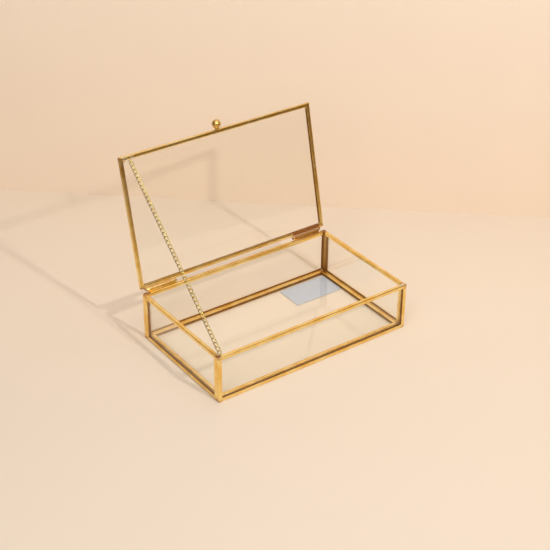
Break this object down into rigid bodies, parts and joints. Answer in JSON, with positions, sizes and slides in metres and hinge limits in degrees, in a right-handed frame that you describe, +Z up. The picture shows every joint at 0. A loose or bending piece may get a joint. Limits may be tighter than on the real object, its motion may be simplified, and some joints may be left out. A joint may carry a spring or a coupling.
{
  "type": "jewelry box",
  "caption": "Rectangular clear glass jewelry box framed in thin brass channel, with a hinged glass lid held open by a fine chain and a small ball knob.",
  "frame": {"origin": "on the ground, in the middle of the outline that the box has with its lid open; the tray itself reaches from y -77.5 to 42.5 mm", "axes": "+X to the right along the front, +Y to the back where the hinges are, +Z up"},
  "size_m": [0.2, 0.155, 0.1727],
  "materials": {
    "frame_brass": "polished, lightly aged folded channel with soldered corners",
    "chain_brass": "bright plated fine curb chain",
    "clear_glass": "clear float glass",
    "label_paper": "matt blank paper label seen through glass"
  },
  "bodies": {
    "tray": {"floor_rail_front": "frame_brass", "floor_rail_right": "frame_brass", "floor_rail_back": "frame_brass", "floor_rail_left": "frame_brass", "floor_glass": "clear_glass", "front_rail_bottom": "frame_brass", "front_rail_right": "frame_brass", "front_rail_top": "frame_brass", "front_rail_left": "frame_brass", "front_glass": "clear_glass", "back_rail_bottom": "frame_brass", "back_rail_right": "frame_brass", "back_rail_top": "frame_brass", "back_rail_left": "frame_brass", "back_glass": "clear_glass", "left_rail_bottom": "frame_brass", "left_rail_back": "frame_brass", "left_rail_top": "frame_brass", "left_rail_front": "frame_brass", "left_glass": "clear_glass", "right_rail_bottom": "frame_brass", "right_rail_back": "frame_brass", "right_rail_top": "frame_brass", "right_rail_front": "frame_brass", "right_glass": "clear_glass", "floor_label": "label_paper", "hinge_barrel_left": "frame_brass", "hinge_barrel_right": "frame_brass", "chain_eye_tray": "chain_brass"},
    "lid": {"lid_rail_front": "frame_brass", "lid_rail_right": "frame_brass", "lid_rail_rear": "frame_brass", "lid_rail_left": "frame_brass", "lid_glass": "clear_glass", "knob_stud": "frame_brass", "knob_ball": "frame_brass", "chain_eye_lid": "chain_brass", "hinge_pin_left": "frame_brass", "hinge_pin_right": "frame_brass"},
    "chain_run_01": {"chain_run_01": "chain_brass"},
    "chain_run_02": {"chain_run_02": "chain_brass"},
    "chain_run_03": {"chain_run_03": "chain_brass"},
    "chain_run_04": {"chain_run_04": "chain_brass"},
    "chain_run_05": {"chain_run_05": "chain_brass"},
    "chain_run_06": {"chain_run_06": "chain_brass"},
    "chain_run_07": {"chain_run_07": "chain_brass"},
    "chain_run_08": {"chain_run_08": "chain_brass"},
    "chain_run_09": {"chain_run_09": "chain_brass"},
    "chain_run_10": {"chain_run_10": "chain_brass"}
  },
  "joints": [
    {"name": "lid_hinge", "type": "hinge", "parent": "tray", "child": "lid", "pos_m": [0, 0.04427, 0.0459], "axis": [1, 0, 0], "range_deg": [0, 103]},
    {"name": "chain_joint_01", "type": "hinge", "parent": "tray", "child": "chain_run_01", "pos_m": [-0.0944, -0.07248, 0.0436], "axis": [-0.9987, -0.0218, -0.0457], "range_deg": [0, 130.02]},
    {"name": "chain_joint_02", "type": "hinge", "parent": "chain_run_01", "child": "chain_run_02", "pos_m": [-0.09365, -0.04599, 0.06545], "axis": [0.9961, -0.0853, 0.0246], "range_deg": [0, 42.52]},
    {"name": "chain_joint_03", "type": "hinge", "parent": "chain_run_02", "child": "chain_run_03", "pos_m": [-0.09348, -0.0401, 0.0703], "axis": [0.9976, 0.0437, 0.0531], "range_deg": [0, 48.38]},
    {"name": "chain_joint_04", "type": "hinge", "parent": "chain_run_03", "child": "chain_run_04", "pos_m": [-0.09298, -0.02244, 0.08486], "axis": [0.0011, 0.6363, -0.7715], "range_deg": [0, 1.74]},
    {"name": "chain_joint_05", "type": "hinge", "parent": "chain_run_04", "child": "chain_run_05", "pos_m": [-0.09248, -0.00478, 0.09943], "axis": [0, 0.6363, -0.7715], "range_deg": [0, 59.35]},
    {"name": "chain_joint_06", "type": "hinge", "parent": "chain_run_07", "child": "chain_run_06", "pos_m": [-0.09232, 0.0011, 0.10428], "axis": [0, 0.6363, -0.7715], "range_deg": [0, 56.78]},
    {"name": "chain_joint_07", "type": "hinge", "parent": "chain_run_08", "child": "chain_run_07", "pos_m": [-0.09182, 0.01876, 0.11885], "axis": [0.0019, 0.6363, -0.7714], "range_deg": [0, 5.96]},
    {"name": "chain_joint_08", "type": "hinge", "parent": "chain_run_09", "child": "chain_run_08", "pos_m": [-0.09132, 0.03642, 0.13341], "axis": [0.9981, -0.0581, -0.0182], "range_deg": [0, 59.93]},
    {"name": "chain_joint_09", "type": "hinge", "parent": "chain_run_10", "child": "chain_run_09", "pos_m": [-0.09115, 0.04231, 0.13827], "axis": [0.9389, 0.1112, -0.3258], "range_deg": [0, 29.8]},
    {"name": "chain_joint_10", "type": "hinge", "parent": "lid", "child": "chain_run_10", "pos_m": [-0.0904, 0.0688, 0.16011], "axis": [-0.9698, -0.0598, 0.2364], "range_deg": [0, 51.99]}
  ],
  "couplings": [
    {"joint": "chain_joint_01", "follows": "lid_hinge", "ratio": 1.2623},
    {"joint": "chain_joint_02", "follows": "lid_hinge", "ratio": 0.41281},
    {"joint": "chain_joint_03", "follows": "lid_hinge", "ratio": 0.46971},
    {"joint": "chain_joint_04", "follows": "lid_hinge", "ratio": 0.016893},
    {"joint": "chain_joint_05", "follows": "lid_hinge", "ratio": 0.57621},
    {"joint": "chain_joint_06", "follows": "lid_hinge", "ratio": 0.55126},
    {"joint": "chain_joint_07", "follows": "lid_hinge", "ratio": 0.057864},
    {"joint": "chain_joint_08", "follows": "lid_hinge", "ratio": 0.58184},
    {"joint": "chain_joint_09", "follows": "lid_hinge", "ratio": 0.28932},
    {"joint": "chain_joint_10", "follows": "lid_hinge", "ratio": 0.50476}
  ]
}
